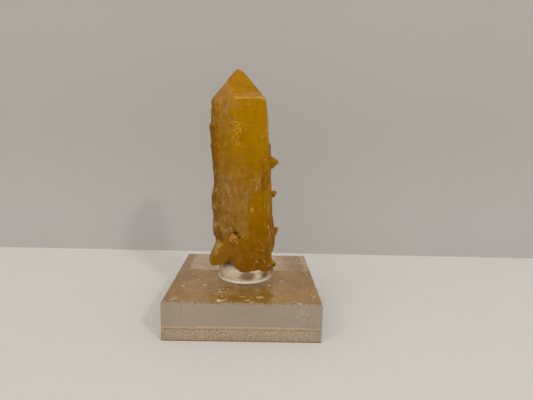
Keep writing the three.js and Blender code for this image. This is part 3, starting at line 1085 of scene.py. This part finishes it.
# %% The crystal's material
def quartz_finish():
    material, tree, position = start_material("golden_quartz", {
        "Roughness": 0.4,
        "Specular IOR Level": 0.14,
        "Specular Tint": (1.0, 0.7, 0.05, 1.0),
        "Subsurface Weight": 0.3,
        "Subsurface Radius": (1.0, 0.5, 0.05),
        "Subsurface Scale": 0.9 * MM,
    })
    place = crystal_place(tree, position)
    crest = add(tree, "ShaderNodeAttribute", attribute_name="crest").outputs["Fac"]
    frosted = frost_mask(tree, place)
    colour = stone(tree, place, frosted)
    colour = mottled(tree, place, frosted, colour)
    colour = edged(tree, place, crest, colour)
    colour = front_face(tree, place, colour)
    colour = vug_marks(tree, place, colour)
    return painted(material, marked(tree, place, colour))


quartz_finish()
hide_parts("quartz_crystal")
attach(crystal, "root")

# %% [markdown]
# ## The acrylic block
#
# The stand is a square of thick clear acrylic with polished edges. It could be one cube with a glass
# material, but clear plastic shows its shape mostly by its edges, so the block is built with its true
# scraped bevels. It floats a hair above the paper: that film of air is what makes its underside act as
# a mirror when it is seen from the side, and lets the brown paper show when it is seen from above.

# %% Build the block
BLOCK_LOW, BLOCK_HIGH = (Vector(corner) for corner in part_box("acrylic_block"))
AIR = 0.05 * MM  # the film of air under the block
BEVEL = 0.06 * MM


def box_mesh(name, low, high):
    """A box between two corners, with its edges broken."""
    shape = bmesh.new()
    bmesh.ops.create_cube(shape, size=1.0)
    middle, size = (low + high) / 2, high - low
    for vertex in shape.verts:
        vertex.co = Vector(m + v * s for m, v, s in zip(middle, vertex.co, size))
    bmesh.ops.bevel(shape, geom=shape.edges[:], offset=BEVEL, segments=2, profile=0.5, affect="EDGES")
    return as_mesh(shape, name)


block = new_piece("acrylic_stand", box_mesh("block", BLOCK_LOW + Vector((0, 0, AIR)), BLOCK_HIGH))
print("block is", [round(v / MM, 2) for v in BLOCK_HIGH - BLOCK_LOW], "mm")


# %% The block's finish
def acrylic_finish():
    material, tree, position = start_material("clear_acrylic", {
        "Transmission Weight": 1.0,
        "IOR": 1.49,
        "Roughness": 0.0,
    })
    # It tints light that travels through its inside.
    volume = add(tree, "ShaderNodeVolumeAbsorption", {"Color": (0.675, 0.405, 0.05, 1.0), "Density": 11.0})
    tree.links.new(volume.outputs[0], tree.nodes["Material Output"].inputs["Volume"])
    emboss(tree, noise(tree, position, 1800.0, 3), 0.08, 0.05 * MM)
    film = ramp(tree, noise(tree, squeezed(tree, position, 0.7, 1, 1), 520.0, 5), 0.35, 0.65)
    return painted(material, blend(tree, film, (0.92, 0.9, 0.87), (1, 1, 1)))


block.data.materials.append(acrylic_finish())
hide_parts("acrylic_block")
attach(block, "root")

# %% [markdown]
# ## The backing paper
#
# Acrylic sheet is sold with a brown paper film on it, and here it was never peeled off the underside.
# Over most of it a film of air lies between them. Along the front the glue still holds. It is full of
# bubbles, which show through the block as pale grains: their shine is a painted reflection on the paper.
# Further in the glue ends in scattered spots. The whole could be painted, but whether the paper touches
# the block changes what the block mirrors. So the sheet is a grid whose glued part is pushed up a hair
# into the block, where light inside the block meets the paper itself, and the grid is finer where the
# glue ends.

# %% Build the paper
PAPER_LOW, PAPER_HIGH = (Vector(corner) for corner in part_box("backing_paper"))
BUBBLY = 10.4 * MM  # how far in from the front edge the glue holds, and is full of bubbles
GLUED = 13.6 * MM  # how far in its last spots hold
PAPER_CELLS = 60
SORTING = Vector((1, 0.013, 0.00017))  # no two faces are equally far along it
LOOSE_TOP = PAPER_HIGH.z - 0.06 * MM
GLUED_TOP = BLOCK_LOW.z + AIR + 0.02 * MM


def glue_holds(spot):
    """True where the glue holds: all along the front, then in fewer and fewer spots further in."""
    inward = spot.y - PAPER_LOW.y
    fading = (inward - BUBBLY) / (GLUED - BUBBLY)
    return fading < 0.5 + 0.8 * cloud_noise((spot.x / MM, 1.6 * inward / MM, 0))


def paper_mesh():
    """A closed sheet whose top is higher where it is glued."""
    shape = bmesh.new()
    bmesh.ops.create_grid(shape, x_segments=PAPER_CELLS, y_segments=PAPER_CELLS, size=0.5)
    size = PAPER_HIGH - PAPER_LOW
    for vertex in shape.verts:
        vertex.co = (vertex.co.x * size.x, vertex.co.y * size.y, LOOSE_TOP)
    grown = bmesh.ops.extrude_face_region(shape, geom=shape.faces[:])
    for item in grown["geom"]:
        if isinstance(item, bmesh.types.BMVert):
            item.co.z = PAPER_LOW.z
    halfway = (PAPER_LOW.z + LOOSE_TOP) / 2
    # Where the glue ends, the top is cut finer, to hold its spots.
    fringe = [
        edge for edge in shape.edges
        if all(v.co.z > halfway and BUBBLY - MM < v.co.y - PAPER_LOW.y < GLUED + MM for v in edge.verts)
    ]
    bmesh.ops.subdivide_edges(shape, edges=fringe, cuts=3, use_grid_fill=True)
    for vertex in shape.verts:
        if vertex.co.z > halfway and glue_holds(vertex.co):
            vertex.co.z = GLUED_TOP
    bmesh.ops.recalc_face_normals(shape, faces=shape.faces[:])
    # The extrusion lists its walls in a chance order, so the faces are sorted from corner to corner.
    shape.faces.sort(key=lambda face: face.calc_center_median().dot(SORTING))
    return as_mesh(shape, "paper")


paper = new_piece("brown_backing_paper", paper_mesh())
print("paper has", len(paper.data.polygons), "faces")


# %% The paper's finish
def paper_finish():
    material, tree, position = start_material("brown_paper", {"Roughness": 0.9, "Specular IOR Level": 0.1})
    place = scaled(tree, position, 1 / MM)
    height = up_axis(tree, place)
    inward = total(tree, along(tree, place, (0, 1, 0)), -PAPER_LOW.y / MM)
    blotches = ramp(tree, noise(tree, place, 0.12, 4), 0.3, 0.7)
    loose = blend(tree, blotches, linear(224, 168, 68), linear(247, 197, 88))
    bubbles = ramp(tree, cells(tree, squeezed(tree, place, 2.4, 1.0, 1), 1.0), 0.7, 0.54)
    # painted reflection: the pale grains stand in for the shine of glue bubbles that mirror the bright
    # room
    grains = blend(tree, bubbles, linear(222, 180, 138), linear(255, 242, 218))
    ragged = product(tree, swing(tree, squeezed(tree, place, 1.6, 0.3, 1), 1.0, 3), 5.0)
    bubbly = ramp(tree, total(tree, inward, ragged), BUBBLY / MM + 0.2, BUBBLY / MM - 0.4)
    glued = blend(tree, bubbly, linear(216, 178, 126), grains)
    raised = (GLUED_TOP - LOOSE_TOP) / MM
    held = ramp(tree, height, LOOSE_TOP / MM + 0.4 * raised, LOOSE_TOP / MM + 0.8 * raised)
    edge = any_of(tree, ramp(tree, height, 0.2, 0.16), ramp(tree, inward, 0.05, 0.03))
    return painted(material, coats(tree, blend(tree, held, loose, glued), [(edge, 1.0, (150, 108, 74))]))


paper.data.materials.append(paper_finish())
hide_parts("backing_paper")
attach(paper, "root")

# %% [markdown]
# ## The mounting gel
#
# A round pad of gel holds the crystal. It has a steep wall, a bead of clean gel squeezed out round its
# foot, and a crumpled inside that is milky, brown or golden by turns. It could be a lump sculpted by
# hand, but it was pressed flat and round, so it is one outline turned round an axis, with small lumps.
# The folds of its inside are too fine to model and show only as tints and a bump in the material.

# %% Build the gel
GEL_LOW, GEL_HIGH = (Vector(corner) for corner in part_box("mounting_gel"))
GEL_MIDDLE = (GEL_LOW + GEL_HIGH) / 2
# How far out and how far above the block, in millimetres. It starts just inside the block, so that
# light passes from one to the other with no air between.
GEL_OUTLINE = [
    (0, -0.02), (9.6, -0.02), (9.95, 0.2), (10.0, 0.5), (9.9, 0.8), (9.72, 1.05), (9.7, 1.6),
    (9.72, 2.4), (9.65, 3.2), (9.45, 4.0), (9.0, 4.8), (8.2, 5.4), (7.0, 5.72), (4.5, 5.84), (0, 5.84),
]
GEL_BEAD = 1.0  # height of the bead at the foot, in millimetres
GEL_STEPS = 96


def gel_radius(radius, rise, angle):
    """The outline's radius there, with the small lumps of pressed gel in its wall."""
    lumps = 0.10 * math.sin(3 * angle + 1) + 0.07 * math.sin(7 * angle + 2 * rise)
    lumps += 0.75 * max(0, math.cos(angle + 0.1)) ** 8  # it bulges past the crystal's right side
    return radius + lumps * min(1, max(0, rise - 1)) * (1 if radius > 6 else 0)


def gel_ring(shape, radius, rise):
    """The points of one ring, or the one point of a ring of radius 0."""
    ring = []
    for step in range(GEL_STEPS if radius else 1):
        angle = 2 * math.pi * step / GEL_STEPS
        reach = gel_radius(radius, rise, angle) * MM if radius else 0
        x, y = GEL_MIDDLE.x + reach * math.cos(angle), GEL_MIDDLE.y + reach * math.sin(angle)
        ring.append(shape.verts.new((x, y, BLOCK_HIGH.z + rise * MM)))
    return ring


def gel_mesh():
    """The outline turned round the middle of the pad. Its bead has the second material."""
    shape = bmesh.new()
    rings = [gel_ring(shape, radius, rise) for radius, rise in GEL_OUTLINE]
    for lower, upper in zip(rings, rings[1:]):
        for step in range(GEL_STEPS):
            corners = [ring[(step + ahead) % len(ring)] for ring, ahead in
                       ((lower, 0), (lower, 1), (upper, 1), (upper, 0))]
            face = shape.faces.new(dict.fromkeys(corners))
            rise = face.calc_center_median().z - BLOCK_HIGH.z
            face.material_index = 1 if 0 < rise < GEL_BEAD * MM else 0
    bmesh.ops.recalc_face_normals(shape, faces=shape.faces[:])
    return as_mesh(shape, "gel")


gel = new_piece("gel_pad", gel_mesh())
gel.data.shade_smooth()
print("gel pad has", len(gel.data.polygons), "faces")

# %% [markdown]
# The pad and its bead are the same gel with the same folds, so the folds are a group that both
# materials place. The bead is paler and has no tints.

# %% The gel's two finishes
FOLDS, given, end = finish_group("Gel folds", "Folds", "Float", Place="Vector")
FOLDS.links.new(noise(FOLDS, squeezed(FOLDS, given["Place"], 0.35, 0.35, 1.6), 1.0, 3), end)
# Where the inside of the pad looks milky, brown or golden: middle and radii in mm, and the colour.
GEL_TINTS = [
    ((-6.0, -7.0, 16.4), (5.0, 5.0, 3.4), (232, 210, 174)),
    # painted light: near white where the crystals shade the gel top under the side crystal's notch
    ((-4.6, -5.4, 18.0), (2.4, 2.6, 1.4), (255, 246, 228)),
    ((1.2, -9.0, 15.4), (3.2, 3.0, 2.2), (142, 110, 80)),
    ((4.9, -7.7, 14.9), (1.1, 2.0, 1.7), (236, 218, 184)),
    ((7.4, -6.0, 15.0), (1.7, 2.6, 1.7), (146, 110, 72)),
    ((10.2, -0.6, 16.8), (2.6, 5.0, 2.8), (152, 96, 6)),
]


def start_gel(name, transmission):
    """A material of gel, its tree, its place in millimetres, and its folds."""
    settings = {"Transmission Weight": transmission, "IOR": 1.45, "Roughness": 0.08}
    material, tree, position = start_material(name, settings)
    place = scaled(tree, position, 1 / MM)
    folds = placed(tree, FOLDS, {"Place": place})
    emboss(tree, folds, 0.35, 0.5 * MM)
    return material, tree, place, folds


def pad_finish():
    material, tree, place, folds = start_gel("clear_gel", 0.22)
    colour = blend(tree, ramp(tree, folds, 0.4, 0.6), linear(204, 176, 136), linear(232, 210, 172))
    tints = [(patch(tree, place, middle, radii, 0.2), 1.0, tint) for middle, radii, tint in GEL_TINTS]
    creases = (ramp(tree, folds, 0.46, 0.36), 0.35, (166, 138, 110))
    return painted(material, coats(tree, colour, [*tints, creases]))


def bead_finish():
    material, tree, _, folds = start_gel("gel_bead", 0.2)
    tone = ramp(tree, folds, 0.3, 0.7)
    return painted(material, blend(tree, tone, linear(226, 212, 186), linear(240, 232, 214)))


gel.data.materials.append(pad_finish())
gel.data.materials.append(bead_finish())
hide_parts("mounting_gel")
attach(gel, "root")

# %% [markdown]
# ## Dust, crumbs and lint
#
# The block is dusty. Specks, crumbs of gel and curled fibres lie on it, as small real things: painted
# on, they would vanish in clear plastic. A Geometry Nodes tree scatters low-poly specks evenly over a
# copy of the block and then keeps each by chance, where a mask says how likely: a few anywhere on top,
# more where dust has gathered, and a smudge of fine ones on the front.

# %% Where the dust lies
DUST = bpy.data.materials.new("pale_dust")  # it gets its nodes further on
# Where the dust has gathered on the block's top: x, y and radius in mm. Then a smudge on its front.
CLUMPS = [
    (15.2, -19.3, 0.9), (8.8, -9.3, 0.6), (10.1, -9.6, 0.5), (13.5, -5.1, 0.9), (2.9, -23.2, 0.8),
    (18.0, -23.2, 1.0), (-20.9, -10.7, 1.1), (-13.3, -9.9, 0.9), (-22.0, -21.8, 1.2),
    (-18.0, -21.9, 0.8), (-19.2, 0.7, 0.8), (-7.7, -22.2, 0.9), (-10.6, -13.9, 0.6),
    (22.6, -19.0, 0.9), (11.2, -22.6, 0.6),
]
SMUDGE = (18.7, -25.0, 9.3)


def dust_share(tree, place, normal, facing_front):
    """How likely a speck is to be kept."""
    rising = ramp(tree, up_axis(tree, normal), 0.5, 0.9)
    flat = squeezed(tree, vectors(tree, "SUBTRACT", place, GEL_MIDDLE / MM), 1, 1, 0)
    clear = ramp(tree, vectors(tree, "LENGTH", flat), 10.2, 10.4)  # none under the gel
    drifts = ramp(tree, noise(tree, place, 0.16, 3), 0.4, 0.65, 0.008, 0.03)
    clumps = [patch(tree, place, (x, y, BLOCK_HIGH.z / MM), (r, r, r), 0.3, 0.2) for x, y, r in CLUMPS]
    thick = any_of(tree, drifts, product(tree, any_of(tree, *clumps), 0.8))
    smudge = patch(tree, place, SMUDGE, (2.2, 1.5, 2.2), 0.3, 0.1)
    return any_of(tree, product(tree, rising, clear, thick), product(tree, facing_front, smudge, 0.9))


print(len(CLUMPS), "clumps of dust")


# %% Scatter the specks
def dust_tree():
    """Specks on faces that look up, and a smudge of them on the front. Sizes are millimetres."""
    tree, given, end = shape_tree("Dust", Thickest=12.0, Smallest=0.08, Largest=0.34, Flat=0.4, Seed=4)
    scatter = {
        "Mesh": given["Geometry"],
        "Density": product(tree, given["Thickest"], 1 / MM**2),
        "Seed": given["Seed"],
    }
    spots = add(tree, "GeometryNodeDistributePointsOnFaces", scatter).outputs
    place = scaled(tree, position_of(tree), 1 / MM)
    facing_front = ramp(tree, along(tree, spots["Normal"], (0, -1, 0)), 0.5, 0.9)
    share = dust_share(tree, place, spots["Normal"], facing_front)
    draw = random_value(tree, 0.0, 1.0, total(tree, given["Seed"], 1.0))
    chance = random_value(tree, 0.0, 1.0, given["Seed"])
    span = maths(tree, "SUBTRACT", given["Largest"], given["Smallest"])
    size = total(tree, given["Smallest"], product(tree, maths(tree, "POWER", chance, 3.0), span))
    size = product(tree, size, maths(tree, "SUBTRACT", 1.0, product(tree, facing_front, 0.6)))
    scale = {"X": size, "Y": size, "Z": product(tree, size, given["Flat"])}
    instanced = {
        "Points": spots["Points"],
        "Selection": maths(tree, "LESS_THAN", draw, share),
        "Instance": add(tree, "GeometryNodeMeshIcoSphere", {"Radius": MM, "Subdivisions": 1}).outputs[0],
        "Rotation": spots["Rotation"],
        "Scale": add(tree, "ShaderNodeCombineXYZ", scale).outputs[0],
    }
    close_tree(tree, add(tree, "GeometryNodeInstanceOnPoints", instanced).outputs[0], end, DUST)
    return tree


dust = new_piece("dust_on_block", box_mesh("dust", BLOCK_LOW, BLOCK_HIGH))
grow(dust, dust_tree())
settle(dust)

# %% [markdown]
# A fibre is an arc of a thin round wire that tapers towards its ends. A curve object with a bevel makes
# all of them at once.

# %% Lay the fibres
# Middle x and y on the block's top, the arc's x and y radius, first angle and turn, in mm and degrees.
FIBRES = [
    (-6.9, -18.6, 2.0, 3.1, 20, 150), (-6.7, -19.0, 1.4, 2.0, 30, 120), (-6.9, -18.9, 2.1, 3.2, -50, 62),
    (-6.8, -19.2, 1.9, 3.1, 205, 95), (-6.3, -20.4, 1.5, 1.5, 250, 80), (0.0, -21.2, 1.6, 2.3, 60, 70),
    (1.6, -20.2, 1.4, 1.6, 235, 80), (5.4, -21.4, 1.9, 2.6, 40, 90), (5.2, -17.2, 1.6, 2.6, 230, 100),
    (3.0, -23.5, 0.8, 0.6, 20, 130), (18.0, -24.6, 1.6, 1.4, 50, 80), (21.6, -17.8, 1.0, 4.6, -50, 100),
    (21.0, -13.0, 1.4, 2.4, 140, 60), (21.6, 4.2, 1.2, 2.6, -10, 100), (-20.9, 3.4, 1.2, 1.6, 60, 100),
    (-19.4, 0.2, 0.6, 1.0, 250, 90), (13.4, -6.0, 1.3, 1.3, 20, 110), (-21.4, -21.2, 1.4, 1.0, 30, 110),
    (9.4, -9.6, 0.5, 0.6, 0, 200), (-13.2, -9.6, 0.8, 1.0, 100, 160),
]
FIBRE_WIDTH = 0.14 * MM
FIBRE_STEP = 15  # degrees of turn for each stretch of wire


def fibre_wires():
    """All the fibres as one wire object."""
    wires = bpy.data.curves.new("fibres", "CURVE")
    wires.dimensions = "3D"
    wires.bevel_depth = FIBRE_WIDTH / 2
    wires.bevel_resolution = 1
    wires.use_fill_caps = True
    for x, y, wide, deep, first, turned in FIBRES:
        count = max(4, int(turned / FIBRE_STEP))
        wire = wires.splines.new("POLY")
        wire.points.add(count)
        for step, point in enumerate(wire.points):
            angle = math.radians(first + turned * step / count)
            wavy = 1 + 0.08 * math.sin(3 * angle + x)
            spot = Vector((x + wavy * wide * math.cos(angle), y + wavy * deep * math.sin(angle), 0)) * MM
            point.co = (spot.x, spot.y, BLOCK_HIGH.z + 0.45 * FIBRE_WIDTH, 1)
            point.radius = 0.45 + 0.55 * math.sin(math.pi * (step + 0.5) / (count + 1))
    wires.materials.append(DUST)
    return new_piece("fibres_on_block", wires)


fibres = settle(fibre_wires())


# %% The dust's finish
def dust_finish():
    material, tree, position = start_material("pale_dust", {"Roughness": 0.8, "Specular IOR Level": 0.2})
    tone = ramp(tree, noise(tree, position, 300.0, 2), 0.3, 0.7)
    return painted(material, blend(tree, tone, linear(204, 176, 136), linear(244, 228, 200)))


dust_finish()
for piece in (dust, fibres):
    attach(piece, "root")

# %% [markdown]
# ## Table and wall
#
# The specimen stands on a white table close to a pale grey wall. Both are large and plain: slightly
# uneven in tone, and the wall is a little paler towards its foot, where the table lights it. They share
# one group. The wall is clear from behind, so that the specimen can be seen from there too.

# %% Stage
WALL_Y = 68 * MM
FAR = 2.0
UNEVEN = 0.03  # how far the tone strays from a plain surface's colour


def plane(name, corners):
    mesh = bpy.data.meshes.new(name)
    mesh.from_pydata(corners, [], [(0, 1, 2, 3)])
    piece = new_piece(name, mesh)
    return piece


PLAIN, given, end = finish_group(
    "Plain surface", "Colour", "Color", Position="Vector", Darker="Color", Paler="Color", Lifted="Float"
)
tone = blend(PLAIN, noise(PLAIN, given["Position"], 12.0, 3), given["Darker"], given["Paler"])
# painted light: paler towards the foot, as light from the table would make it
low = ramp(PLAIN, up_axis(PLAIN, given["Position"]), 75 * MM, 15 * MM, 0.0, given["Lifted"])
PLAIN.links.new(blend(PLAIN, low, tone, (1, 1, 1)), end)


def plain_finish(name, colour, lifted=0.0):
    """A plain surface. Lifted says how much painted light from the table makes it paler towards its foot.
    """
    material, tree, position = start_material(name, {"Roughness": 0.9, "Specular IOR Level": 0.1})
    darker, paler = ((*(share * v for v in colour), 1.0) for share in (1 - UNEVEN, 1 + UNEVEN))
    values = {"Position": position, "Darker": darker, "Paler": paler, "Lifted": lifted}
    return painted(material, placed(tree, PLAIN, values))


def clear_from_behind(material):
    """Lets a surface be seen through from its back."""
    tree = material.node_tree
    clear = add(tree, "ShaderNodeBsdfTransparent").outputs[0]
    behind = add(tree, "ShaderNodeNewGeometry").outputs["Backfacing"]
    shader = tree.nodes["Principled BSDF"].outputs[0]
    mixed = add(tree, "ShaderNodeMixShader", {0: behind, 1: shader, 2: clear})
    tree.links.new(mixed.outputs[0], tree.nodes["Material Output"].inputs["Surface"])
    return material


table_top = plane("table_top", [(-FAR, -FAR, 0), (FAR, -FAR, 0), (FAR, FAR, 0), (-FAR, FAR, 0)])
table_top.data.materials.append(plain_finish("white_table", (0.795, 0.76, 0.70)))
wall = plane("wall", [(-FAR, WALL_Y, 0), (FAR, WALL_Y, 0), (FAR, WALL_Y, FAR), (-FAR, WALL_Y, FAR)])
wall.data.materials.append(clear_from_behind(plain_finish("grey_wall", (0.462, 0.433, 0.395), 0.08)))

# %% [markdown]
# ## The light
#
# The room is evenly bright, so most of the light comes from the world, which is one pale grey. A small
# lamp high at the front right adds crisp highlights, and wide ones at the front left and above soften
# the shadows. An image of a room could light it too, but three lamps are easier to move and change.

# %% Light
scene = bpy.context.scene
world = bpy.data.worlds.new("soft_room")
world.use_nodes = True
background = world.node_tree.nodes["Background"]
background.inputs["Color"].default_value = (0.9, 0.9, 0.9, 1)
background.inputs["Strength"].default_value = 0.62
scene.world = world


def area_light(name, place, target, size, power):
    lamp = bpy.data.lights.new(name, "AREA")
    lamp.shape = "SQUARE"
    lamp.size = size
    lamp.energy = power
    piece = bpy.data.objects.new(name, lamp)
    piece.location = place
    piece.rotation_euler = (Vector(target) - Vector(place)).to_track_quat("-Z", "Y").to_euler()
    scene.collection.objects.link(piece)
    print(f"{name}: {power} W from {size} m")


area_light("key", (0.445, -0.588, 0.588), (0, 0, 0.04), 0.07, 1.3)
area_light("fill", (-0.40, -0.72, 0.46), (0, 0, 0.04), 1.2, 3.2)
area_light("top", (0, -0.45, 1.1), (0, 0, 0), 1.2, 1.3)

# %% [markdown]
# ## The camera
#
# It looks at the specimen from the front and a little above, tilted by a degree or two as a hand-held
# camera is.

# %% Camera
CAMERA_PLACE = Vector((3.359, -135.586, 63.795)) * MM
YAW, PITCH, ROLL = (math.radians(angle) for angle in (1.61564, 9.55805, 1.73180))
forward = Vector((math.sin(YAW) * math.cos(PITCH), math.cos(YAW) * math.cos(PITCH), -math.sin(PITCH)))
level = Vector((math.cos(YAW), -math.sin(YAW), 0))
rise = level.cross(forward)
right = math.cos(ROLL) * level + math.sin(ROLL) * rise
up = math.cos(ROLL) * rise - math.sin(ROLL) * level
turn = Matrix((right, up, -forward)).transposed()
camera = bpy.data.objects.new("camera", bpy.data.cameras.new("camera"))
camera.matrix_world = Matrix.Translation(CAMERA_PLACE) @ turn.to_4x4()
camera.data.sensor_width = 36
camera.data.lens = 25.8206
camera.data.clip_start = 0.005
camera.data.clip_end = 20
scene.collection.objects.link(camera)
scene.camera = camera

# Clear plastic needs many bounces, and true colours need the plain view.
scene.view_settings.view_transform = "Standard"
scene.cycles.use_denoising = True
scene.cycles.max_bounces = 16
scene.cycles.transmission_bounces = 16
print("camera looks along", [round(v, 3) for v in forward])
